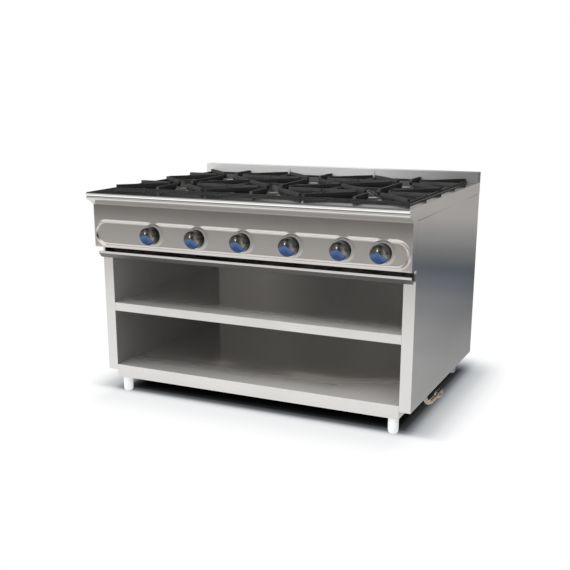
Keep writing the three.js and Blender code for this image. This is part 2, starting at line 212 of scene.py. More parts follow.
# ------------------------------------------------------------------ steel
def steel(name, base, rough, aniso, grain="x", dirt=0.05, metal=1.0, tone=None, lines_amount=0.5,
          polish=None):
    """Brushed stainless: long fine scratches along `grain`, cloudy wiping marks, some grease.

    `tone` changes the base colour and `polish` adds to the finished surface.
    """
    s = Surface(name)
    fine = s.noise(detail=2.0, stretch=tuple(5 if axis == grain else 1100 for axis in "xyz"))
    mid = s.noise(detail=3.0, stretch=tuple(1.2 if axis == grain else 230 for axis in "xyz"))
    cloud = s.noise(size=5.0, detail=5.0, rough=0.6)
    lines = s.add(s.mul(fine, 0.7), s.mul(mid, 0.3))
    line_rough = s.remap(lines, span=(0.3, 0.7),
                         to=(rough - 0.02 * lines_amount, rough + 0.04 * lines_amount))
    cloud_rough = s.remap(cloud, span=(0.35, 0.7), to=(-0.01, dirt))
    s.look(Roughness=s.add(line_rough, cloud_rough))
    dark = tuple(c * (1 - 0.07 * lines_amount) for c in base)
    light = tuple(min(1.0, c * (1 + 0.03 * lines_amount)) for c in base)
    colour = s.mix(s.remap(lines, span=(0.32, 0.68)), low=dark, high=light)
    colour = s.mix(s.remap(cloud, span=(0.45, 0.75), to=(0, 0.3)), low=colour,
                   high=tuple(c * 0.90 for c in base))
    if tone is not None:
        colour = tone(s, colour)
    s.look(Base_Color=colour, Metallic=metal, Anisotropic=aniso)
    tangent = s.node("CombineXYZ")
    tangent.inputs["xyz".index(grain)].default_value = 1.0
    s.look(Tangent=tangent.outputs[0])
    s.bump(lines, strength=0.08 * lines_amount, distance=0.0001)
    if polish is not None:
        polish(s)
    return s.owner


def mesh_painted_shade(s, colour):
    """Painted light and shade: darken or lighten by the "shade" stored on the mesh."""
    return s.scaled(colour, s.attribute("shade"))


def nose_painted_glint(s):
    """Painted highlight: the upper roll of the nose glows, brighter than any base colour allows.
    """
    glow = s.remap(s.attribute("shade"), span=(1.31, 1.45), to=(0.0, 0.22))
    s.look(Emission_Color=(1.0, 0.99, 0.98), Emission_Strength=glow)


def shelf_tone(polished_from, right_lag=0.0):
    """Duller, less metallic and rougher, near the open front, polished further in; the colour
    carries painted shade.

    Full polish is reached `polished_from` mm behind the nose, `right_lag` metres later at the
    right end.
    """
    def tone(s, colour):
        x, y, _ = s.split()
        inward = s.sub(y, s.remap(x, span=(0.28, 0.46), to=(0.0, right_lag)))
        deep = s.remap(inward, span=(depth(82), depth(polished_from)), smooth=True)
        s.look(Metallic=s.remap(deep, span=(0.0, 1.0), to=(0.35, 0.85)))
        rough = s.shader.inputs["Roughness"].links[0].from_socket
        s.look(Roughness=s.mul(rough, s.remap(deep, span=(0.0, 1.0), to=(1.0, 0.25))))
        # painted shade: darker across the left of the open front, and a little darker deep inside
        across = s.remap(x, span=(-0.50, 0.10), to=(0.62, 1.0))
        across = s.math("MAXIMUM", across, deep)
        return s.scaled(colour, s.mul(across, s.remap(deep, span=(0.0, 1.0), to=(1.0, 0.95))))
    return tone


def side_painted_shade(s, colour):
    """Painted shade: darker low down, and darker still towards the rear."""
    _, y, z = s.split()
    low = s.remap(z, span=(0.50, 0.20), to=(0.25, 1.0), smooth=True)
    rearward = s.mul(s.remap(y, span=(-0.34, 0.45), to=(0.0, 0.55)), low)
    height = s.add(z, s.mul(s.remap(y, span=(0.10, 0.45), to=(0.0, 0.035)), 1.0))
    down = s.remap(height, span=(0.34, 0.12), to=(1.0, 0.53))
    return s.scaled(colour, s.mul(down, s.sub(1.0, rearward)))


def bay_painted_shade(s, colour):
    """Painted shade: slightly darker in the lower bay."""
    _, _, z = s.split()
    return s.scaled(colour, s.remap(z, span=(0.30, 0.34), to=(0.80, 1.0), smooth=True))


# Painted shade across the back wall, as a grey factor: x in metres, factor.
BACK_UPPER = [
    (-0.55, 0.80), (-0.33, 0.80), (-0.25, 0.67), (-0.20, 0.56), (-0.156, 0.48), (-0.109, 0.42),
    (-0.062, 0.37), (0.0, 0.345), (0.06, 0.335), (0.12, 0.36), (0.21, 0.395), (0.28, 0.44),
    (0.40, 0.50)]
BACK_LOWER = [
    (-0.55, 0.445), (-0.25, 0.42), (-0.20, 0.395), (-0.156, 0.364), (-0.109, 0.34),
    (0.035, 0.325), (0.08, 0.35), (0.127, 0.373), (0.17, 0.395), (0.26, 0.40)]


def back_painted_shade(s, colour):
    """Painted shade, different across the wall in the upper and lower bays."""
    x, _, z = s.split()
    across = s.remap(x, span=(-0.60, 0.60))
    upper, lower = (
        s.ramp(across, [((at + 0.6) / 1.2, grey) for at, grey in table], "LINEAR")
        for table in (BACK_UPPER, BACK_LOWER))
    low = s.remap(z, span=(0.30, 0.34), to=(1.0, 0.0), smooth=True)
    return s.scaled(colour, s.add(s.mul(lower, low), s.mul(upper, s.sub(1.0, low))))


def upstand_painted_shade(s, colour):
    """Painted shade: darker towards the right end."""
    x, _, _ = s.split()
    return s.scaled(colour, s.remap(x, span=(0.15, 0.585), to=(1.0, 0.30)))


FRONT = steel("steel_front", base=(0.80, 0.795, 0.785), rough=0.27, aniso=0.35)
LIP = steel("steel_lip", base=(1.0, 0.99, 0.98), rough=0.18, aniso=0.2)
# a dark copy of the lip steel for its underside: painted shade
LIP_UNDER_SHADED = steel("steel_lip_underside", base=(0.20, 0.196, 0.192), rough=0.34, aniso=0.3)
PANEL = steel("steel_panel", base=(0.78, 0.755, 0.735), rough=0.28, aniso=0.3, tone=mesh_painted_shade)
DECK = steel("steel_worktop", base=(0.74, 0.735, 0.72), rough=0.085, aniso=0.0, dirt=0.02)
NOSE = steel("steel_nose", base=(0.72, 0.715, 0.705), rough=0.13, aniso=0.0, dirt=0.01,
             tone=mesh_painted_shade, lines_amount=0.25, polish=nose_painted_glint)
UPSTAND = steel("steel_upstand", base=(0.86, 0.855, 0.85), rough=0.55, aniso=0.0, metal=0.55,
                tone=upstand_painted_shade)
SIDE = steel("steel_side", base=(0.74, 0.74, 0.74), rough=0.13, aniso=0.0, grain="y", dirt=0.02,
             lines_amount=0.3, tone=side_painted_shade)
# a dark copy of the steel for the insides of the bays: painted shade
INNER_SHADED = steel("steel_inner", base=(0.38, 0.37, 0.36), rough=0.42, aniso=0.2, metal=0.55,
              tone=bay_painted_shade)
SHELF = steel("steel_shelf", base=(0.80, 0.78, 0.755), rough=0.40, aniso=0.2, metal=0.5,
              tone=shelf_tone(polished_from=230))
SHELF_LOW = steel("steel_shelf_low", base=(0.80, 0.78, 0.755), rough=0.40, aniso=0.2, metal=0.5,
                  tone=shelf_tone(polished_from=300, right_lag=0.12))
TRAY = steel("steel_tray", base=(0.74, 0.735, 0.72), rough=0.34, aniso=0.2)
BACK_WALL = steel("steel_back_wall", base=(0.98, 0.955, 0.93), rough=0.45, aniso=0.1, metal=0.2,
                  tone=back_painted_shade)
BACK = steel("steel_back", base=(0.60, 0.59, 0.58), rough=0.34, aniso=0.3)
FOOT = steel("steel_foot", base=(0.93, 0.945, 0.96), rough=0.32, aniso=0.0, grain="z",
             metal=0.35)
# a dark copy of the foot steel for the rear feet: painted shade
FOOT_SHADED = steel("steel_foot_dull", base=(0.30, 0.31, 0.32), rough=0.40, aniso=0.0, grain="z",
                  metal=0.35)


# ------------------------------------------------------------------ other materials
def cast_iron():
    s = Surface("cast_iron")
    grit = s.noise(size=900.0, detail=3.0, rough=0.6)
    lump = s.noise(size=120.0, rough=0.6)
    patch = s.noise(size=14.0, rough=0.6)
    _, _, z = s.split()
    worn = s.remap(z, span=(0.7845, 0.7872), smooth=True)
    worn = s.mul(worn, s.remap(lump, span=(0.5, 0.75)))
    colour = s.mix(s.remap(patch, span=(0.35, 0.7)),
                   low=(0.036, 0.036, 0.037), high=(0.054, 0.053, 0.052))
    colour = s.mix(s.mul(worn, 0.35), low=colour, high=(0.085, 0.083, 0.08))
    # painted light and shade, held in `soot`: lighter on faces not turned to +X, darker on those
    # turned to +X, on the upward faces, and low on the bars
    normal_x, _, normal_z = s.split(s.node("NewGeometry").outputs["Normal"])
    soot = s.mul(s.remap(normal_x, span=(0.05, 0.6), to=(1.62, 0.50)),
                 s.remap(normal_z, span=(0.25, 0.9), to=(1.0, 0.45)))
    soot = s.mul(soot, s.remap(z, span=(0.7755, 0.7785), to=(0.55, 1.0)))
    s.look(Base_Color=s.scaled(colour, soot), Metallic=0.0, Specular_IOR_Level=0.10,
           Roughness=s.remap(lump, span=(0.3, 0.7), to=(0.62, 0.8)))
    s.bump(s.add(s.mul(grit, 0.4), s.mul(lump, 0.8)), strength=0.4, distance=0.0005)
    return s.owner


def enamel():
    s = Surface("dark_enamel")
    orange_peel = s.noise(size=180.0, detail=2.0, rough=0.5)
    stain = s.noise(size=11.0, detail=5.0, rough=0.65)
    cells = s.node("TexVoronoi", Scale=700.0, Vector=s.coord)
    fleck = s.remap(cells.outputs["Distance"], span=(0.0, 0.16), to=(1.0, 0.0))
    colour = s.mix(s.remap(stain, span=(0.4, 0.7)),
                   low=(0.012, 0.0125, 0.014), high=(0.028, 0.027, 0.027))
    colour = s.mix(s.mul(fleck, 0.35), low=colour, high=(0.16, 0.16, 0.17))
    s.look(Base_Color=colour, Roughness=s.remap(stain, span=(0.35, 0.7), to=(0.16, 0.34)),
           Coat_Weight=0.5, Coat_Roughness=0.08)
    s.bump(orange_peel, strength=0.15, distance=0.0004)
    return s.owner


def burner_iron():
    s = Surface("burner_casting")
    grit = s.noise(size=700.0, detail=3.0)
    patch = s.noise(size=30.0)
    s.look(Base_Color=s.mix(s.remap(patch, span=(0.35, 0.7)),
                            low=(0.035, 0.034, 0.033), high=(0.075, 0.068, 0.06)),
           Metallic=0.6, Roughness=s.remap(patch, span=(0.3, 0.7), to=(0.5, 0.36)))
    s.bump(grit, strength=0.35, distance=0.0005)
    return s.owner


def cap_metal():
    s = Surface("burner_cap_metal")
    tarnish = s.noise(size=45.0, detail=5.0, rough=0.65)
    fine = s.noise(size=650.0, detail=2.0)
    s.look(Base_Color=s.mix(s.remap(tarnish, span=(0.42, 0.68)),
                            low=(0.95, 0.945, 0.93), high=(0.72, 0.70, 0.67)),
           Metallic=1.0, Roughness=s.remap(tarnish, span=(0.3, 0.7), to=(0.22, 0.42)))
    s.bump(fine, strength=0.12, distance=0.0002)
    return s.owner


def cap_sooted():
    s = Surface("burner_cap_sooted")
    soot = s.noise(size=60.0, rough=0.6)
    s.look(Base_Color=s.mix(s.remap(soot, span=(0.35, 0.7)),
                            low=(0.030, 0.029, 0.028), high=(0.060, 0.057, 0.052)),
           Metallic=0.0, Specular_IOR_Level=0.12,
           Roughness=s.remap(soot, span=(0.3, 0.7), to=(0.6, 0.8)))
    s.bump(soot, strength=0.25, distance=0.0004)
    return s.owner


def knob_metal():
    s = Surface("knob_dark_chrome")
    scuff = s.noise(size=160.0, rough=0.6)
    colour = s.mix(s.remap(scuff, span=(0.4, 0.7)),
                   low=(0.28, 0.28, 0.27), high=(0.36, 0.36, 0.35))
    # the stored "shade" paints shade and highlight onto the metal
    s.look(Base_Color=mesh_painted_shade(s, colour), Metallic=1.0,
           Roughness=s.remap(scuff, span=(0.3, 0.7), to=(0.20, 0.34)))
    s.bump(scuff, strength=0.06, distance=0.0002)
    return s.owner


def blue_face():
    s = Surface("knob_blue_face")
    mottle = s.noise(size=220.0, detail=3.0)
    # painted shade: the blue darkens down the field and is darkest at its rim, along the stored
    # "shade"
    blues = [(0.0, (0.050, 0.102, 0.215)), (0.72, (0.008, 0.038, 0.135)),
             (1.0, (0.004, 0.017, 0.036))]
    colour = s.ramp(s.attribute("shade"), blues, "LINEAR")
    colour = s.mix(s.remap(mottle, span=(0.4, 0.8), to=(0, 0.25)), low=colour,
                   high=(0.03, 0.06, 0.14))
    s.look(Base_Color=colour, Metallic=0.0, Specular_IOR_Level=0.3,
           Roughness=s.remap(mottle, span=(0.3, 0.7), to=(0.28, 0.40)))
    s.bump(mottle, strength=0.05, distance=0.0002)
    return s.owner


def mark_white():
    s = Surface("pointer_mark")
    mottle = s.noise(size=400.0, detail=3.0)
    s.look(Base_Color=s.mix(mottle, low=(0.50, 0.52, 0.48), high=(0.62, 0.63, 0.60)),
           Roughness=0.35)
    return s.owner


def patchy_metal(name, low, high, rough, size=90.0):
    """Metal wandering between two colours, with roughness between the two in `rough`."""
    s = Surface(name)
    patch = s.noise(size=size, detail=5.0, rough=0.6)
    grain = s.noise(size=500.0, detail=2.0)
    s.look(Base_Color=s.mix(s.remap(patch, span=(0.35, 0.7)), low=low, high=high),
           Metallic=1.0, Roughness=s.remap(patch, span=(0.3, 0.7), to=rough))
    s.bump(grain, strength=0.1, distance=0.0002)
    return s.owner


IRON = cast_iron()
ENAMEL = enamel()
BURNER = burner_iron()
CAP = cap_metal()
SOOTED = cap_sooted()
KNOB = knob_metal()
BLUE = blue_face()
MARK = mark_white()
BRASS = patchy_metal("brass", low=(0.66, 0.47, 0.20), high=(0.50, 0.34, 0.14),
                     rough=(0.25, 0.42))
COPPER = patchy_metal("copper", low=(0.66, 0.50, 0.38), high=(0.16, 0.10, 0.05),
                      rough=(0.16, 0.34), size=70.0)
FITTING = patchy_metal("gas_fitting_brass", low=(0.60, 0.57, 0.48), high=(0.14, 0.12, 0.07),
                       rough=(0.16, 0.34), size=120.0)
ALUMINIUM = patchy_metal("drawn_aluminium", low=(0.70, 0.71, 0.72), high=(0.58, 0.58, 0.59),
                         rough=(0.28, 0.42))


# ------------------------------------------------------------------ mesh helpers
def mark_smooth(mesh, angle):
    """Smooth faces, with edges sharper than `angle` degrees kept hard."""
    mesh.polygons.foreach_set("use_smooth", [True] * len(mesh.polygons))
    bm = bmesh.new()
    bm.from_mesh(mesh)
    limit = math.radians(angle)
    for edge in bm.edges:
        if len(edge.link_faces) == 2:
            edge.smooth = edge.calc_face_angle(0.0) < limit
    bm.to_mesh(mesh)
    bm.free()
    mesh.update()


def make_object(name, verts, faces, mats, face_mats=None, angle=35.0):
    mesh = bpy.data.meshes.new(name)
    mesh.from_pydata([tuple(map(float, v)) for v in verts], [], [tuple(f) for f in faces])
    for mat in mats if isinstance(mats, list) else [mats]:
        mesh.materials.append(mat)
    if face_mats is not None:
        mesh.polygons.foreach_set("material_index", face_mats)
    bm = bmesh.new()
    bm.from_mesh(mesh)
    bmesh.ops.recalc_face_normals(bm, faces=bm.faces)
    bm.to_mesh(mesh)
    bm.free()
    made = bpy.data.objects.new(name, mesh)
    SCENE.collection.objects.link(made)
    mark_smooth(mesh, angle)
    return made


def store_shade(target, values):
    attribute = target.data.attributes.new("shade", "FLOAT", "POINT")
    attribute.data.foreach_set("value", np.array(values, dtype=np.float32))


def tidy_sheet(target, choose, outward):
    """Drop loose vertices and turn the sheet so that the chosen face looks outward."""
    bm = bmesh.new()
    bm.from_mesh(target.data)
    loose = [v for v in bm.verts if not v.link_faces]
    bmesh.ops.delete(bm, geom=loose, context="VERTS")
    if choose(bm.faces).normal.dot(Vector(outward)) < 0:
        bmesh.ops.reverse_faces(bm, faces=bm.faces)
    bm.to_mesh(target.data)
    bm.free()


def bevel(target, width, segs=2, angle=30.0):
    mod = target.modifiers.new("edge", "BEVEL")
    mod.width = width
    mod.segments = segs
    mod.limit_method = "ANGLE"
    mod.angle_limit = math.radians(angle)
    mod.harden_normals = True
    mod.miter_outer = "MITER_ARC"


def solidify(target, thickness):
    mod = target.modifiers.new("sheet", "SOLIDIFY")
    mod.thickness = thickness
    mod.offset = -1.0
    mod.use_even_offset = True


def join_rings(rings, segs):
    """(band, face) pairs between neighbouring rings; a ring may be a single point."""
    joined = []
    for band, (a, b) in enumerate(zip(rings, rings[1:])):
        for i in range(segs):
            j = (i + 1) % segs
            face = [a[i % len(a)], a[j % len(a)], b[j % len(b)], b[i % len(b)]]
            face = list(dict.fromkeys(face))
            if len(face) > 2:
                joined.append((band, face))
    return joined


def lathe(name, profile, mats, centre, segs, axis="z", angle=35.0):
    """Closed body turned round z or y: (radius, height) points that start and end on the axis."""
    verts, rings = [], []
    for radius, height in profile:
        count = 1 if radius < 1e-9 else segs
        rings.append(list(range(len(verts), len(verts) + count)))
        for i in range(count):
            turn = 2 * math.pi * i / segs
            r = 0 if count == 1 else radius
            verts.append((r * math.cos(turn), r * math.sin(turn), height))
    faces = [face for _, face in join_rings(rings, segs)]
    points = np.array(verts, float)
    if axis == "y":
        points = points[:, [0, 2, 1]]
    points = points + np.array(centre)
    return make_object(name, points, faces, mats, [0] * len(faces), angle)


def boxes(name, specs, mat, edge=0.0006):
    """Several bevelled boxes in one object; each spec is x0, x1, y0, y1, z0, z1."""
    verts, faces = [], []
    for x0, x1, y0, y1, z0, z1 in specs:
        b = len(verts)
        verts += [(x, y, z) for z in (z0, z1) for y in (y0, y1) for x in (x0, x1)]
        faces += [
            [b, b + 2, b + 3, b + 1], [b + 4, b + 5, b + 7, b + 6],
            [b, b + 1, b + 5, b + 4], [b + 2, b + 6, b + 7, b + 3],
            [b, b + 4, b + 6, b + 2], [b + 1, b + 3, b + 7, b + 5]]
    made = make_object(name, verts, faces, mat)
    bevel(made, edge)
    return made


def spline(points, per):
    """Smooth curve through 2-D or 3-D points, `per` steps to each span."""
    p = np.array(points, float)
    last = len(p) - 1
    out = []
    for i in range(last):
        p0, p1, p2, p3 = p[max(i - 1, 0)], p[i], p[i + 1], p[min(i + 2, last)]
        for k in range(per):
            t = k / per
            out.append(0.5 * ((2 * p1) + (-p0 + p2) * t + (2 * p0 - 5 * p1 + 4 * p2 - p3) * t * t
                              + (-p0 + 3 * p1 - 3 * p2 + p3) * t ** 3))
    out.append(p[-1])
    return np.array(out)


def filleted(profile, radius, steps=4):
    """(radius, z) outline in mm with rounded inner points, returned in metres.

    `radius` is one fillet size or one for each point.
    """
    p = [np.array(q, float) for q in profile]
    radii = radius if isinstance(radius, list) else [radius] * len(p)
    out = [p[0]]
    for before, corner, after, size in zip(p, p[1:], p[2:], radii[1:]):
        len_before = np.linalg.norm(before - corner)
        len_after = np.linalg.norm(after - corner)
        size = min(size, len_before * 0.49, len_after * 0.49)
        start = corner + (before - corner) / len_before * size
        end = corner + (after - corner) / len_after * size
        for k in range(steps + 1):
            t = k / steps
            out.append((1 - t) ** 2 * start + 2 * t * (1 - t) * corner + t * t * end)
    out.append(p[-1])
    return [(max(r, 0.0) / 1000.0, z / 1000.0) for r, z in out]


def tube(name, path, radius, mat, segs):
    """Round closed tube along a smooth path that sets out level."""
    n = len(path)
    along = np.gradient(path, axis=0)
    along /= np.linalg.norm(along, axis=1)[:, None]
    across = np.cross(along[0], np.array([0, 0, 1.0]))
    across /= np.linalg.norm(across)
    verts, faces = [], []
    for i in range(n):
        across = across - along[i] * (across @ along[i])
        across /= np.linalg.norm(across)
        third = np.cross(along[i], across)
        for k in range(segs):
            turn = 2 * math.pi * k / segs
            verts.append(path[i] + radius * (math.cos(turn) * across + math.sin(turn) * third))
    for i in range(n - 1):
        a, b = i * segs, (i + 1) * segs
        for k in range(segs):
            j = (k + 1) % segs
            faces.append([a + k, a + j, b + j, b + k])
    faces.append(list(range(segs)))
    faces.append(list(range((n - 1) * segs, n * segs)))
    return make_object(name, verts, faces, mat)


def ease(x, start, end):
    """Smooth step from 0 at `start` to 1 at `end`."""
    t = np.clip((x - start) / (end - start), 0, 1)
    return t * t * (3 - 2 * t)


def lookup(x, table):
    """Straight-line interpolation in a table of (station, value) rows."""
    return np.interp(x, *zip(*table))


def place(made, body, slot, *replaced):
    if replaced:
        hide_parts(*replaced)
    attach(made, body)


# ------------------------------------------------------------------ frame pieces that stay
def dress(name, *mats, edge=0.0007, segs=2, smooth_angle=40.0):
    """New materials, smoothing and a bevel for a piece of the frame."""
    piece = nodes[name]
    mesh = piece.data
    mesh.materials.clear()
    for mat in mats:
        mesh.materials.append(mat)
    mesh.polygons.foreach_set("material_index", [0] * len(mesh.polygons))
    mark_smooth(mesh, smooth_angle)
    if edge:
        bevel(piece, edge, segs)
    return mesh.polygons


def dress_frame():
    # the side panels' faces inside the bays take the dark inner steel: painted shade
    for sign, side in SIDES:
        for face in dress("side_panel_" + side, SIDE, FRONT, INNER_SHADED):
            if face.normal.y < -0.5:
                face.material_index = 1
            elif face.normal.x * sign < -0.5 and face.center.z < 0.53:
                face.material_index = 2
    for name, mat in (("middle_shelf", SHELF), ("bottom_shelf", SHELF_LOW)):
        for face in dress(name, mat, FRONT):
            if face.normal.y < -0.5 and face.center.y < depth(90):
                face.material_index = 1
    for face in dress("back_panel", BACK, BACK_WALL, edge=0.0004):
        if face.normal.y < -0.5:
            face.material_index = 1
    dress("rear_upstand", UPSTAND, edge=0.0012, segs=3)
    lip_depth = depth(66)  # the drip tray's lip ends here
    # the lip's downward faces at the front take the dark copy of the lip steel: painted shade
    for face in dress("drip_tray", LIP, LIP_UNDER_SHADED, TRAY, edge=0.0006):
        if face.normal.z < -0.25 and face.center.y < lip_depth:
            face.material_index = 1
        elif face.normal.z > 0.5 and face.center.y > lip_depth:
            face.material_index = 2
    dress("gas_manifold", ALUMINIUM, edge=0.0015, segs=3)
    for i in range(1, 7):
        dress(f"tap_body_{i}", BRASS, edge=0.0008)
        dress(f"tap_plug_{i}", BRASS, edge=0.0004)
        dress(f"supply_tube_{i}", ALUMINIUM, edge=0, smooth_angle=70)
    for name in [n for n in nodes if n.startswith("grate_")]:
        dress(name, IRON, edge=0.0012)


dress_frame()

# ------------------------------------------------------------------ worktop
# Front edge, mm behind the nose line and z: two rolls with a groove between, then a cove down
# to the panel. The first point is the flat top's rear end; the curve starts at the second.
NOSE_PROFILE = [
    (60, TOP_Z), (6, TOP_Z), (-3, TOP_Z), (-7.2, 0.7683), (-9.7, 0.7645), (-9.8, 0.7605),
    (-8, 0.7575), (-5.8, 0.7562), (-7.4, 0.7540), (-8.0, 0.7505), (-6.2, 0.7466),
    (-2, 0.7434), (6, 0.7398), (16, 0.7346), (24, 0.7297), (28, 0.7267), (31, 0.7240)]
# Painted highlight and shade on the nose: z, shade.
NOSE_SHADE = [
    (0.7240, 1.05), (0.7273, 1.10), (0.730, 1.20), (0.735, 1.22), (0.742, 1.20), (0.7466, 1.00),
    (0.7480, 0.95), (0.7500, 1.02), (0.7525, 0.78), (0.7555, 0.48), (0.7580, 0.72),
    (0.7592, 1.36), (0.7608, 1.45), (0.7642, 1.40), (0.7656, 0.55), (0.7670, 0.20),
    (0.7699, 0.30)]
FLANGE_Z = 0.727  # bottom of the end plates and the rear flange


def nose_outline():
    points = [(depth(mm), z) for mm, z in NOSE_PROFILE]
    return np.vstack([points[:2], spline(points[2:], per=6)])


def worktop_nose(outer):
    sheet = 0.0016
    along = np.gradient(outer, axis=0)
    inward = np.stack([-along[:, 1], along[:, 0]], 1)  # below the top, behind the front
    inward /= np.linalg.norm(inward, axis=1)[:, None]
    loop = np.vstack([outer, (outer + inward * sheet)[::-1]])
    verts = [(x, y, z) for x in (-INNER_HALF, INNER_HALF) for y, z in loop]
    n = len(loop)
    faces = [[i, (i + 1) % n, n + (i + 1) % n, n + i] for i in range(n)]
    for k in range(len(outer) - 1):
        for b in (0, n):
            faces.append([b + k, b + k + 1, b + n - 2 - k, b + n - 1 - k])
    nose = make_object("worktop_nose", verts, faces, NOSE, angle=28)
    shade = lookup([v[2] for v in verts], NOSE_SHADE)
    on_deck = np.array([v[1] for v in verts]) > depth(5)
    store_shade(nose, np.where(on_deck, 1.0, shade))
    place(nose, "cabinet", "satin_steel", "worktop")


def worktop_ends(outer):
    """One plate each side, cut to the nose's outline."""
    outline = [(y, z) for y, z in outer] + [(depth(REAR), FLANGE_Z), (depth(REAR), TOP_Z)]
    n = len(outline)
    for sign, side in SIDES:
        verts = [(sign * x, y, z) for x in (HALF_WIDTH, INNER_HALF) for y, z in outline]
        faces = [list(range(n)), list(range(n, 2 * n))]
        faces += [[i, (i + 1) % n, n + (i + 1) % n, n + i] for i in range(n)]
        plate = make_object("worktop_end_" + side, verts, faces, SIDE, angle=30)
        bevel(plate, 0.0004, angle=40)
        place(plate, "cabinet", "satin_steel", "worktop")


def worktop_deck():
    """Flat sheet with an opening for each spill pan."""
    opening_half = 0.176
    xs = [x + side * opening_half for x in COLUMNS.values() for side in (-1, 1)]
    xs = [-INNER_HALF, *xs, INNER_HALF]
    ys = [depth(60), depth(116), depth(842), depth(REAR_INNER)]
    corners = {}  # (x, y) to vertex number, in the order the faces ask for them
    faces = []
    for i in range(len(xs) - 1):
        for j in range(len(ys) - 1):
            if j == 1 and i in (1, 3, 5):
                continue
            quad = [(xs[i], ys[j]), (xs[i + 1], ys[j]),
                    (xs[i + 1], ys[j + 1]), (xs[i], ys[j + 1])]
            faces.append([corners.setdefault(corner, len(corners)) for corner in quad])
    deck = make_object("worktop_deck", [(x, y, TOP_Z) for x, y in corners], faces, DECK)
    deck.data.polygons.foreach_set("use_smooth", [False] * len(deck.data.polygons))
    solidify(deck, 0.0018)
    place(deck, "cabinet", "satin_steel", "worktop")


def worktop_rear_flange():
    box = (-INNER_HALF, INNER_HALF, depth(REAR_INNER), depth(REAR), FLANGE_Z, TOP_Z - 0.0001)
    flange = boxes("worktop_rear_flange", [box], BACK, edge=0.0004)
    place(flange, "cabinet", "satin_steel", "worktop")


def burner_rails():
    """A flat bar under each row of burners, with an upright at both ends."""
    half_bar = 14  # mm
    specs = []
    for row in ROWS.values():
        y0, y1 = depth(row - half_bar), depth(row + half_bar)
        specs.append((-0.596, 0.596, y0, y1, 0.690, 0.696))
        for x0, x1 in ((-0.5955, -0.588), (0.588, 0.5955)):
            specs.append((x0, x1, y0, y1, 0.6955, 0.7683))
    place(boxes("burner_rails", specs, BACK), "cabinet", "satin_steel", "worktop")


outline = nose_outline()
worktop_nose(outline)
worktop_ends(outline)
worktop_deck()
worktop_rear_flange()
burner_rails()

# ------------------------------------------------------------------ control panel
KNOB_XS = [-0.346, -0.166, 0.010, 0.190, 0.370, 0.505]
KNOB_Z = 0.626
PANEL_Z0, PANEL_Z1 = 0.568, 0.725
# Pressed bead: a racetrack with round ends, its centreline's height, radius and half length.
BEAD_Z, BEAD_R, BEAD_HALF = 0.622, 0.043, 0.590
BEAD_HEIGHT = 0.0026
BOSS_HEIGHT = 0.0009
# Painted shade on the plain panel, darker under the nose: z, shade.
PANEL_SHADE = [(0.580, 0.86), (0.590, 0.78), (0.65, 0.76), (0.668, 0.72), (0.70, 0.54),
               (0.722, 0.45)]


def panel_section():
    """Rows of y, z and 1 on the face (0 elsewhere), from the top return to the bottom one."""
    bend, step = 0.003, 0.0022
    bend_y = depth(35)
    steps = int((PANEL_Z1 - PANEL_Z0) / step)
    path = [(depth(56), PANEL_Z1, 0), (depth(44), PANEL_Z1, 0)]
    for k in range(5):
        a = math.pi / 2 * k / 5
        path.append((bend_y - bend * math.sin(a), PANEL_Z1 - bend + bend * math.cos(a), 0))
    for z in np.linspace(PANEL_Z1 - bend, PANEL_Z0 + bend, steps):
        path.append((depth(32), z, 1))
    for k in range(1, 6):
        a = math.pi / 2 * k / 5
        path.append((bend_y - bend * math.cos(a), PANEL_Z0 + bend - bend * math.sin(a), 0))
    path += [(depth(44), PANEL_Z0, 0), (depth(56), PANEL_Z0, 0)]
    return np.array(path)


def panel_relief(x, z):
    """Height of the pressing, painted light and shade, and distance to the nearest knob centre.
    """
    straight = BEAD_HALF - BEAD_R
    dist = np.abs(np.hypot(np.maximum(np.abs(x) - straight, 0.0), z - BEAD_Z) - BEAD_R)
    wide = np.interp(z, [BEAD_Z - 0.02, BEAD_Z + 0.02], [0.0068, 0.0057])
    arch = np.cos(np.clip(dist / wide, 0, 1) * math.pi / 2)
    bead = BEAD_HEIGHT * (np.clip(arch, 0, 1) ** 1.2)

    # painted shade under the nose; a painted highlight along the bead, bright on the top run's
    # crown with painted shade above it
    shade = lookup(z, PANEL_SHADE)
    above = z - (BEAD_Z + BEAD_R)
    crown = 0.64 + 0.56 * ease(above, -0.0046, -0.0018) - 0.45 * ease(above, 0.0022, 0.0048)
    crown = np.where(z > BEAD_Z + 0.02, crown, 0.93)
    shade = shade + (crown - shade) * bead / BEAD_HEIGHT

    # a low boss round each knob cuts the bead, with painted shade in an arc over its top, kept in
    # `grease`
    boss = np.zeros_like(x)
    clearance = np.full_like(x, 9.0)
    for knob_x in KNOB_XS:
        r = np.hypot(x - knob_x, z - KNOB_Z)
        clearance = np.minimum(clearance, r)
        boss = np.maximum(boss, BOSS_HEIGHT * (1 - ease(r, 0.0345, 0.0425)))
        bead = bead * ease(r, 0.0412, 0.0465)
        from_top = np.abs(np.arctan2(x - knob_x, z - KNOB_Z))
        grease = np.exp(-((r - 0.0382) / 0.0022) ** 2) * (1 - ease(from_top, 0.34, 0.72))
        shade = shade * (1 - 0.70 * grease)

    # painted shade: dark patch low on the bead's right end
    patch = (np.exp(-(dist / 0.0036) ** 2) * (x > 0)
             * ease(np.abs(x), 0.562, 0.572) * (1 - ease(np.abs(x), 0.584, 0.590))
             * (1 - ease(z, 0.602, 0.610)))
    shade = shade * (1 - 0.55 * patch)

    # painted reflection: round the left end the bead turns bright, dark, bright
    turn = bead / BEAD_HEIGHT * (1 - ease(x, -0.562, -0.548))
    wave = (0.36 * ease(z, 0.620, 0.630) * (1 - ease(z, 0.652, 0.662))
            + 0.38 * (1 - ease(z, 0.590, 0.598))
            - 0.93 * np.exp(-((z - 0.608) / 0.0105) ** 2))
    shade = shade * (1 + np.clip(turn * 1.6, 0, 1) * wave)
    return np.maximum(bead, boss), shade, clearance


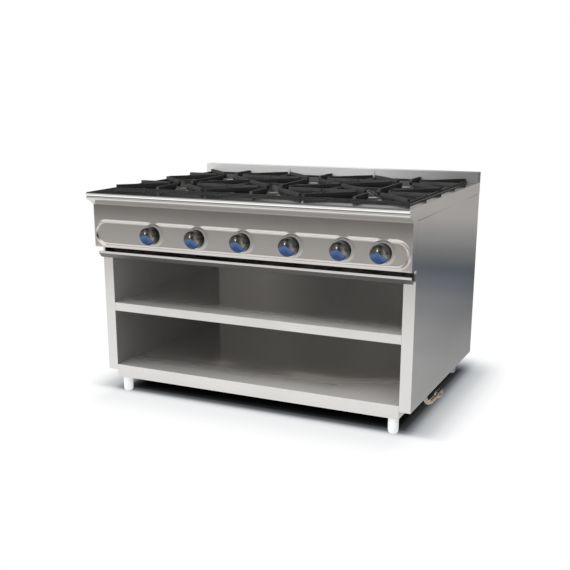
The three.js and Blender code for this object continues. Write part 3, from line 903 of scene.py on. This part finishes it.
def panel_front():
    spindle_hole = 0.0085
    section = panel_section()
    n = len(section)
    xs = np.linspace(-0.5982, 0.5982, 520)
    x, station = np.meshgrid(xs, np.arange(n), indexing="ij")
    y, z, on_face = (section[station][..., k] for k in range(3))
    height, shade, clearance = panel_relief(x, z)
    verts = np.stack([x, y - height * on_face, z], -1).reshape(-1, 3)
    clearance = clearance.reshape(-1)
    faces = []
    for i in range(len(xs) - 1):
        for j in range(n - 1):
            quad = [i * n + j, i * n + j + 1, (i + 1) * n + j + 1, (i + 1) * n + j]
            if max(clearance[k] for k in quad) >= spindle_hole:
                faces.append(quad)
    front = make_object("control_panel_front", verts, faces, PANEL, angle=60)
    store_shade(front, shade.reshape(-1))
    tidy_sheet(front, lambda fs: min(fs, key=lambda f: f.calc_center_median().y), (0, -1, 0))
    solidify(front, 0.0012)
    place(front, "cabinet", "satin_steel", "control_panel")


def panel_returns():
    for sign, side in SIDES:
        x0, x1 = sorted((sign * HALF_WIDTH, sign * 0.5984))
        box = (x0, x1, depth(32.6), depth(79.3), PANEL_Z0 + 0.0002, PANEL_Z1 - 0.0002)
        plate = boxes("control_panel_return_" + side, [box], SIDE, edge=0.0005)
        place(plate, "cabinet", "satin_steel", "control_panel")


panel_front()
panel_returns()

# ------------------------------------------------------------------ knobs
KNOB_R = 0.0305
KNOB_SEGS, FACE_RINGS = 96, 34
POINTER_X = -0.0028
# Rings behind the face: radius, y behind the nose line, share of the full flute depth.
KNOB_WALL = [
    (KNOB_R + 0.0002, -0.0105, 0.3), (KNOB_R, -0.006, 1.0), (KNOB_R, 0.0, 1.0),
    (KNOB_R, 0.010, 1.0), (KNOB_R, 0.0135, 0.6), (KNOB_R + 0.0003, 0.0155, 0.0),
    (0.0312, 0.0170, 0.0), (0.0318, 0.0195, 0.0), (0.0318, 0.0232, 0.0), (0.0308, 0.0243, 0.0),
    (0.0200, 0.0243, 0.0), (0.0044, 0.0243, 0.0), (0.0044, 0.0740, 0.0)]
SPINDLE_END = 0.0740
# Painted shade and highlight: brightness of the side wall, by y, and of the metal face right of
# centre, by x.
WALL_SHADE = [(-0.016, 0.62), (-0.007, 0.42), (0.001, 0.14), (0.012, 0.08), (0.0155, 0.10)]
RIGHT_SHADE = [(0, 0.60), (0.002, 0.20), (0.007, 0.26), (0.014, 0.85), (0.022, 1.35),
               (0.027, 1.0)]


def blue_edge(x):
    """Upper edge of the blue field."""
    return 0.0060 + (0.25 * x if x < 0 else -0.65 * x)


def knob_face(x, z):
    """Y of the front face behind the nose line: domed, with a sloping lower part,
    a raised pointer rib, a small dip beside it and a rounded rim."""
    r = math.hypot(x, z)
    y = -0.0158 - 0.0012 * (1 - (r / KNOB_R) ** 2)
    y += max(0.0, blue_edge(x) - z) * 0.16
    ridge = 1 - ease(abs(x - POINTER_X), 0.0020, 0.0032)
    ridge *= ease(z, 0.0070, 0.0090) * (1 - ease(z, 0.0190, 0.0215))
    dip = 1 - ease(math.hypot(x - 0.0034, z - 0.0160), 0.0010, 0.0036)
    y += -0.0022 * ridge + 0.0022 * dip
    rim = ease(r, KNOB_R - 0.0042, KNOB_R)
    return float(y + rim * rim * 0.004)


def knob_shade(x, y, z, on_wall):
    """Painted shade and highlight: dark under the top rim and right of the pointer, with a bright
    sweep at the right; on the blue field it is the place along the colour ramp."""
    if on_wall:
        top = float(ease(math.sin(math.atan2(z, x)), 0.25, 0.75))
        return float(lookup(y, WALL_SHADE)) * (1 - 0.80 * top)
    r = math.hypot(x, z)
    if z < blue_edge(x):
        down = float(ease(blue_edge(x) - z, 0.001, 0.024))
        rim = float(ease(r, 0.0255, 0.0295)) * float(ease(-z, 0.004, 0.016))
        return 0.72 * down + 0.28 * rim
    shade = 0.55 if x < 0 else float(lookup(x, RIGHT_SHADE))
    under_rim = float(ease(r, 0.0225, 0.0275)) * float(ease(z + 0.35 * x, 0.006, 0.018))
    return shade * (1 - 0.75 * under_rim)


def knob_rings():
    """Vertices and rings from the face's centre, over the fluted wall, to the spindle's end."""
    turns = [2 * math.pi * (k + 0.5) / KNOB_SEGS for k in range(KNOB_SEGS)]
    verts, rings = [(0, knob_face(0, 0), 0)], [[0]]
    for k in range(1, FACE_RINGS + 1):
        r = KNOB_R * (k / FACE_RINGS)
        rings.append(list(range(len(verts), len(verts) + KNOB_SEGS)))
        for turn in turns:
            x, z = r * math.cos(turn), r * math.sin(turn)
            verts.append((x, knob_face(x, z), z))
    for radius, ring_y, flute in KNOB_WALL:
        rings.append(list(range(len(verts), len(verts) + KNOB_SEGS)))
        for turn in turns:
            r = radius - 0.0007 * flute * (0.5 - 0.5 * math.cos(turn * 24))
            y = ring_y
            if y < 0:  # stay behind the rim where the face slopes back
                rim = [KNOB_R * part * 0.999 for part in (math.cos(turn), math.sin(turn))]
                y = max(y, knob_face(*rim) + 0.0008)
            verts.append((r * math.cos(turn), y, r * math.sin(turn)))
    rings.append([len(verts)])
    verts.append((0, SPINDLE_END, 0))
    return verts, rings


def knob(number, knob_x):
    """Round knob: dark metal above, blue lower field, white pointer mark, spindle."""
    verts, rings = knob_rings()
    faces, face_mats = [], []
    for band, face in join_rings(rings, KNOB_SEGS):
        x, _, z = np.mean([verts[k] for k in face], 0)
        mat = 0
        if band < FACE_RINGS + 2 and z < blue_edge(x) and math.hypot(x, z) < 0.0312:
            mat = 1
        if band < FACE_RINGS and abs(x - POINTER_X) < 0.0022 and 0.0105 < z < 0.0165:
            mat = 2
        faces.append(face)
        face_mats.append(mat)
    first_wall = 1 + FACE_RINGS * KNOB_SEGS
    shade = [knob_shade(*vert, k >= first_wall) for k, vert in enumerate(verts)]
    points = np.array(verts) + np.array([knob_x, -NOSE_OFFSET, KNOB_Z])
    made = make_object(f"knob_{number}_turned", points, faces, [KNOB, BLUE, MARK], face_mats,
                       angle=45)
    store_shade(made, shade)
    place(made, f"knob_{number}", "knob", f"knob_{number}")
    made.visible_glossy = False


for number, knob_x in enumerate(KNOB_XS, 1):
    knob(number, knob_x)

# ------------------------------------------------------------------ burners and caps
# Turned outlines: radius, z in mm.
CUP_PROFILE = [(0, 704), (24, 704), (36, 722), (50, 744), (52, 748), (52, 757), (43, 757),
               (40, 746), (24, 728), (0, 728)]
CAP_PROFILE = [(0, 749.2), (29.5, 749.2), (35.5, 757.4), (46.0, 757.4), (47.8, 758.6),
               (47.0, 760.0), (40.0, 760.6), (37.4, 760.8), (36.2, 763.6), (34.0, 764.5),
               (16.5, 764.55), (12, 764.4), (0, 764.0)]
# Mixing tube, lying along y: radius, y from the burner's centre, in metres.
MIXING_TUBE = [(0.0, -0.104), (0.009, -0.104), (0.009, -0.112), (0.0150, -0.112),
               (0.0152, -0.106), (0.0125, -0.094), (0.0118, -0.060), (0.0128, -0.015),
               (0.0, -0.015)]
TOOTH_COUNT = 30
TOOTH_R0, TOOTH_R1 = 0.0500, 0.0527
TOOTH_HALF = 0.0022
TOOTH_Z0, TOOTH_Z1 = 0.7495, 0.7556


def burner_teeth(tag, x, y):
    """Ring of small blocks round the cup's rim."""
    verts, faces = [], []
    plan = [(TOOTH_R0, -TOOTH_HALF), (TOOTH_R1, -TOOTH_HALF),
            (TOOTH_R1, TOOTH_HALF), (TOOTH_R0, TOOTH_HALF)]
    for k in range(TOOTH_COUNT):
        turn = 2 * math.pi * k / TOOTH_COUNT
        c, s = math.cos(turn), math.sin(turn)
        b = len(verts)
        for z in (TOOTH_Z0, TOOTH_Z1):
            verts += [(x + r * c - t * s, y + r * s + t * c, z) for r, t in plan]
        faces += [[b, b + 3, b + 2, b + 1], [b + 4, b + 5, b + 6, b + 7],
                  [b, b + 1, b + 5, b + 4], [b + 1, b + 2, b + 6, b + 5],
                  [b + 2, b + 3, b + 7, b + 6], [b + 3, b, b + 4, b + 7]]
    return make_object(f"burner_{tag}_teeth", verts, faces, BURNER)


def burner_cap(tag, x, y):
    """Cap with bare metal at the middle of the top and on a ring near the rim."""
    profile = filleted(CAP_PROFILE, 0.8)
    cap = lathe(f"burner_cap_{tag}_turned", profile, [CAP, SOOTED], (x, y, 0), segs=80)
    for face in cap.data.polygons:
        r, z = math.hypot(face.center.x - x, face.center.y - y), face.center.z
        middle = r < 0.0165 and z > 0.7635
        ring = 0.0400 < r < 0.0472 and z > 0.7592
        if not middle and not ring:
            face.material_index = 1
    place(cap, "cap_" + tag, "cap_metal", "burner_cap_" + tag)


def burner(tag, x, row):
    y = depth(row)

    def fit(part):
        place(part, "cabinet", "burner_iron", f"burner_{tag}")

    fit(lathe(f"burner_{tag}_cup", filleted(CUP_PROFILE, 2.0), SOOTED, (x, y, 0), segs=72))
    fit(burner_teeth(tag, x, y))
    fit(lathe(f"burner_{tag}_mixing_tube", MIXING_TUBE, BURNER, (x, y, 0.712), segs=40,
              axis="y"))
    pad = (x - 0.016, x + 0.016, depth(row - 12), depth(row + 12), 0.6963, 0.7055)
    fit(boxes(f"burner_{tag}_pad", [pad], BURNER, edge=0.0012))
    burner_cap(tag, x, y)


for column, x in COLUMNS.items():
    for row_name, row in ROWS.items():
        burner(f"{row_name}_{column}", x, row)


# ------------------------------------------------------------------ spill pans
def pan(name, centre_x):
    """Pressed enamel pan: flat rim, filleted well, a raised collar round each burner."""
    half_x = 0.1865
    well_x, well_y0, well_y1, corner = 0.171, depth(121), depth(837), 0.030
    rim_z, floor_z, wall = 0.7721, 0.7440, 0.016
    hole_r = 0.0565
    xs = np.linspace(-half_x, half_x, 112)
    ys = np.linspace(depth(107), depth(850.5), 222)
    x, y = np.meshgrid(xs, ys, indexing="ij")
    # distance to the well's rounded outline, negative inside
    well_y = (well_y0 + well_y1) / 2
    over_x = np.abs(x) - (well_x - corner)
    over_y = np.abs(y - well_y) - ((well_y1 - well_y0) / 2 - corner)
    outside = (np.hypot(np.maximum(over_x, 0), np.maximum(over_y, 0))
               + np.minimum(np.maximum(over_x, over_y), 0) - corner)
    z = floor_z + (rim_z - floor_z) * ease(-outside, wall, 0.0)
    # gentle dish, highest next to the wall
    dish = np.cos(np.clip(-outside, 0, 0.17) / 0.17 * math.pi / 2)
    z = z + 0.0015 * dish * (outside < -wall)
    clearance = np.full_like(x, 9.0)
    for row in ROWS.values():
        clearance = np.minimum(clearance, np.hypot(x, y - depth(row)))
    # pull the vertices next to each hole onto its circle
    for row in ROWS.values():
        dy = y - depth(row)
        r = np.hypot(x, dy)
        pull = (r > 0.050) & (r < 0.0585)
        new_r = np.where(pull, hole_r, r)
        y = np.where(pull, dy / np.maximum(r, 1e-9) * new_r + depth(row), y)
        x = np.where(pull, x / np.maximum(r, 1e-9) * new_r, x)
    z = z + 0.006 * (1 - ease(clearance, 0.060, 0.070))  # collar
    n = len(ys)
    verts = np.stack([x + centre_x, y, z], -1).reshape(-1, 3)
    clearance = clearance.reshape(-1)
    faces = []
    for i in range(len(xs) - 1):
        for j in range(n - 1):
            quad = [i * n + j, (i + 1) * n + j, (i + 1) * n + j + 1, i * n + j + 1]
            if min(clearance[k] for k in quad) >= 0.050:
                faces.append(quad)
    sheet = make_object(name + "_pressed", verts, faces, ENAMEL, angle=60)
    tidy_sheet(sheet, lambda fs: max(fs, key=lambda f: f.calc_area()), (0, 0, 1))
    solidify(sheet, 0.0014)
    place(sheet, "cabinet", "enamel", name)


for column, x in COLUMNS.items():
    pan(f"spill_pan_{column}", x)

# ------------------------------------------------------------------ feet
# Radius, z in mm, and the fillet at each point.
FOOT_PROFILE = [(0, 0.2), (12.5, 0.2), (16.6, 5), (18, 14), (18, 60.5), (5, 60.5), (5, 98),
                (0, 98)]
FOOT_FILLETS = [0, 2, 3, 6, 1, 0.3, 1, 0]

# the front feet take the bright foot steel, the rear feet its dark copy: painted shade
for row_name, foot_row, mat in (("front", 108, FOOT), ("rear", 862, FOOT_SHADED)):
    for sign, side in SIDES:
        tag = f"foot_{row_name}_{side}"
        foot = lathe(tag + "_turned", filleted(FOOT_PROFILE, FOOT_FILLETS, steps=5), mat,
                     (sign * 0.534, depth(foot_row), 0), segs=64)
        place(foot, tag, "foot_steel", tag)

# ------------------------------------------------------------------ gas inlet
# Pipe's centreline: x, mm behind the nose line, z.
INLET_LINE = [
    (0.5726, 77, 0.601), (0.581, 77, 0.601), (0.587, 90, 0.587), (0.587, 128, 0.535),
    (0.587, 130, 0.505), (0.588, 215, 0.330), (0.588, 262, 0.170), (0.588, 284, 0.092),
    (0.588, 316, 0.054), (0.588, 360, 0.038), (0.588, 405, 0.035), (0.588, 450, 0.0335),
    (0.588, 478, 0.032)]
# Six-sided union on the pipe's end: radius, mm behind the nose line.
UNION_PROFILE = [(0, 470), (0.0125, 470), (0.0148, 473), (0.0148, 495), (0.0125, 498),
                 (0.0098, 498.5), (0.0098, 520.5), (0.0088, 522), (0, 522)]

pipe_line = spline([(x, depth(mm), z) for x, mm, z in INLET_LINE], per=6)
pipe = tube("gas_inlet_pipe_drawn", pipe_line, radius=0.0075, mat=COPPER, segs=24)
place(pipe, "cabinet", "copper", "gas_inlet_pipe")
union = lathe("gas_inlet_union", [(r, depth(mm)) for r, mm in UNION_PROFILE], FITTING,
              (0.586, 0, 0.031), segs=6, axis="y", angle=25)
bevel(union, 0.0006)
place(union, "cabinet", "copper", "gas_inlet_pipe")

# ------------------------------------------------------------------ bright strips on the upstand
# painted highlight: two bright steel strips behind the gaps between the grates stand in for
# streaks of reflected light on the upstand
STRIP_X, STRIP_HALF = 0.187, 0.0016
highlight_strip_boxes = [(x - STRIP_HALF, x + STRIP_HALF, depth(850.4), depth(853.5), 0.7712, 0.800)
             for x in (-STRIP_X, STRIP_X)]
place(boxes("upstand_highlight_strips", highlight_strip_boxes, FRONT), "cabinet", "satin_steel")

# ------------------------------------------------------------------ world
# Horizon behind the range in reflections: 0 left to 1 right, grey or colour.
HORIZON = [(0.0, 0.03), (0.22, 0.035), (0.38, 0.075), (0.47, 0.34), (0.60, 0.36),
           (1.0, (0.46, 0.45, 0.43))]


def world():
    """White to the camera; separate surroundings for reflections and for diffuse light."""
    sky = bpy.data.worlds.new("studio")
    SCENE.world = sky
    g = Graph(sky, "OutputWorld")
    background = g.node("Background", Strength=1.0)
    g.finish(background.outputs[0])
    path = g.node("LightPath")
    g.coord = g.node("TexCoord").outputs["Generated"]
    x, y, z = g.split()
    # reflections
    up_back = g.remap(z, span=(0.55, 0.93), smooth=True)
    up_front = g.remap(z, span=(0.0, 0.35), smooth=True)
    bearing = g.math("DIVIDE", x, g.math("MAXIMUM", y, 0.05))
    horizon = g.ramp(g.remap(bearing, span=(-0.9, 0.1)), HORIZON)
    front = g.remap(y, span=(0.1, -0.3), smooth=True)
    # straight overhead is dimmer, so that the worktop stands off the pale floor
    zenith = g.remap(z, span=(0.93, 0.985), to=(1.0, 0.66), smooth=True)
    rear_sky = g.mix(up_back, low=horizon, high=(1.15, 1.15, 1.15))
    front_sky = g.mix(up_front, low=(0.30, 0.285, 0.27), high=(1.05, 1.05, 1.05))
    glossy = g.scaled(g.mix(front, low=rear_sky, high=front_sky), zenith)
    # diffuse light, stronger from the front and the right
    diffuse = g.mix(g.remap(z, span=(0.0, 0.6), smooth=True),
                    low=(0.75, 0.76, 0.78), high=(1.0, 1.0, 1.0))
    side = g.sub(g.mul(x, 0.25), y)
    diffuse = g.scaled(diffuse, g.remap(side, span=(-0.7, 0.9), to=(0.45, 1.35), smooth=True))
    colour = g.mix(path.outputs["Is Diffuse Ray"], low=glossy, high=diffuse)
    colour = g.mix(path.outputs["Is Camera Ray"], low=colour, high=(1.0, 1.0, 1.0))
    g.put(background, Color=colour)
    sky.cycles.sampling_method = "NONE"


# ------------------------------------------------------------------ floor
# Painted contact shade across x (|x| from 0.50 to 0.80 m): position, brightness.
SHADE_X = [(0.0, 0.0), (0.10, 0.004), (0.20, 0.040), (0.268, 0.190), (0.32, 0.36), (0.37, 0.48),
           (0.43, 0.55), (0.51, 0.64), (0.60, 0.78), (0.68, 0.86), (0.75, 0.93), (0.90, 1.0)]
# Painted contact shade along y (170 mm before the nose to 230 mm behind it): position,
# brightness.
SHADE_Y = [(0.0, 1.0), (0.18, 0.955), (0.30, 0.925), (0.42, 0.88), (0.575, 0.85), (0.63, 0.78),
           (0.665, 0.62), (0.69, 0.40), (0.725, 0.15), (0.80, 0.016), (0.87, 0.003), (1.0, 0.0)]
# Floor on the right as reflections see it (y from 0 to 6.4 m): position, colour.
RIGHT_GROUND = [
    (0.0, (0.38, 0.38, 0.38)), (0.083, (0.39, 0.39, 0.39)), (0.12, (0.35, 0.35, 0.35)),
    (0.256, (0.25, 0.255, 0.26)), (0.33, (0.175, 0.187, 0.205)), (0.40, (0.118, 0.130, 0.150)),
    (0.50, (0.215, 0.215, 0.22)), (0.58, (0.31, 0.31, 0.31)), (0.80, (0.475, 0.455, 0.435)),
    (1.0, (0.475, 0.455, 0.435))]


def floor_for_camera(g, x, y):
    """Pale paper with a painted soft contact shadow, turning pure white away from the range."""
    beyond_x = g.sub(g.math("ABSOLUTE", g.sub(x, 0.0)), 0.6)
    beyond_y = g.sub(g.math("ABSOLUTE", y), 0.45)
    dist = g.math("MAXIMUM", beyond_x, beyond_y)
    far_share = g.remap(dist, span=(0.15, 0.9), smooth=True)
    # painted shadow: dark under the cabinet, fading out past its sides and front, bluer where
    # darker
    across = g.remap(g.math("ABSOLUTE", x), span=(0.50, 0.80))
    light_x = g.ramp(across, SHADE_X, "LINEAR")
    light_y = g.ramp(g.remap(y, span=(depth(-170), depth(230))), SHADE_Y, "LINEAR")
    dark = g.mul(g.sub(1.0, light_x), g.sub(1.0, light_y))
    dark = g.mul(dark, g.remap(y, span=(depth(880), depth(1150)), to=(1.0, 0.0), smooth=True))
    light = g.sub(1.0, dark)
    colour = g.scaled(g.mix(light, low=(0.93, 0.985, 1.05), high=(1.0, 1.0, 1.0)), light)
    # most of the paper glows with its painted contact shadow; only the rest is lit
    painted_share = 0.78  # how much of the paper's brightness is its own
    near = g.mix_shaders(painted_share, g.diffuse(colour), g.emission(Color=colour, Strength=1.03))
    return g.mix_shaders(far_share, near, g.emission(Color=(1, 1, 1)))


def floor_for_range(g, x, y, is_glossy):
    """What the steel sees: bright close to the front, dimmer further off and on the right."""
    before = g.sub(g.mul(y, -1.0), 0.4)
    front = g.mix(g.remap(before, span=(1.2, 3.4), smooth=True),
                  low=(1.0, 0.99, 0.98), high=(0.42, 0.40, 0.385))
    front = g.mix(g.remap(before, span=(3.2, 5.5), smooth=True), low=front,
                  high=(0.28, 0.265, 0.25))
    front = g.mix(g.remap(before, span=(0.02, 0.20), smooth=True), low=(0.85, 0.84, 0.83),
                  high=front)
    beyond_right = g.sub(x, 0.6)
    right = g.ramp(g.remap(y, span=(0.0, 6.4)), RIGHT_GROUND)
    right_share = g.mul(g.remap(beyond_right, span=(-0.15, 0.35), smooth=True),
                        g.remap(before, span=(0.9, -0.1), smooth=True))
    ground = g.mix(right_share, low=front, high=right)
    glowing = g.emission(Color=ground)
    glow_share = 0.35  # of the floor seen by rays that are not reflections
    matt = g.mix_shaders(glow_share, g.diffuse(ground), glowing)
    return g.mix_shaders(is_glossy, matt, glowing)


def floor():
    half = 16.0
    mesh = bpy.data.meshes.new("floor")
    corners = [(-half, -half, 0), (half, -half, 0), (half, half, 0), (-half, half, 0)]
    mesh.from_pydata(corners, [], [(0, 1, 2, 3)])
    made = bpy.data.objects.new("floor", mesh)
    SCENE.collection.objects.link(made)
    g = Graph(bpy.data.materials.new("pale_floor"))
    path = g.node("LightPath")
    x, y, _ = g.split(g.node("NewGeometry").outputs["Position"])
    seen = floor_for_camera(g, x, y)
    reflected = floor_for_range(g, x, y, path.outputs["Is Glossy Ray"])
    g.finish(g.mix_shaders(path.outputs["Is Camera Ray"], reflected, seen))
    mesh.materials.append(g.owner)


# ------------------------------------------------------------------ lights
def area(name, loc, target, size, power, color=(1, 1, 1)):
    """Rectangular light aimed at `target`, left out of reflections."""
    light = bpy.data.lights.new(name, "AREA")
    light.shape = "RECTANGLE"
    light.size, light.size_y = size
    light.energy = power
    light.color = color
    made = bpy.data.objects.new(name, light)
    made.location = loc
    aim = Vector(target) - Vector(loc)
    made.rotation_euler = aim.to_track_quat("-Z", "Y").to_euler()
    made.visible_glossy = False
    SCENE.collection.objects.link(made)


world()
floor()
area("key", loc=(-2.6, -2.6, 3.2), target=(0, 0, 0.4), size=(3.6, 3.6), power=70,
     color=(1.0, 0.99, 0.97))
area("overhead", loc=(0.2, 0.2, 3.4), target=(0, 0, 0.6), size=(2.6, 1.6), power=55)
area("bay_fill", loc=(1.25, -3.2, 0.42), target=(0, 0.3, 0.32), size=(1.8, 0.5), power=13)

# ------------------------------------------------------------------ camera
# Radians: heading from +Y towards +X, dip below level, and turn about the view line.
HEADING, DIP, ROLL = -0.4573, 0.2692, -0.0049
CAMERA_PLACE = (1.4011493, -2.6631065 - NOSE_OFFSET, 1.1248018)


def camera():
    forward = Vector((math.sin(HEADING) * math.cos(DIP), math.cos(HEADING) * math.cos(DIP),
                      -math.sin(DIP)))
    level_right = Vector((math.cos(HEADING), -math.sin(HEADING), 0))
    level_up = level_right.cross(forward)
    right = math.cos(ROLL) * level_right + math.sin(ROLL) * level_up
    up = -math.sin(ROLL) * level_right + math.cos(ROLL) * level_up
    data = bpy.data.cameras.new("camera")
    made = bpy.data.objects.new("camera", data)
    SCENE.collection.objects.link(made)
    turn = Matrix((right, up, -forward)).transposed().to_4x4()
    made.matrix_world = Matrix.Translation(Vector(CAMERA_PLACE)) @ turn
    data.sensor_fit = "HORIZONTAL"
    data.sensor_width = 36.0
    data.lens = 57.2521453
    data.shift_x = 0.0425431579
    data.shift_y = 0.0938396491
    data.clip_end = 100
    SCENE.camera = made


camera()
SCENE.view_settings.view_transform = "Standard"
SCENE.view_settings.look = "None"
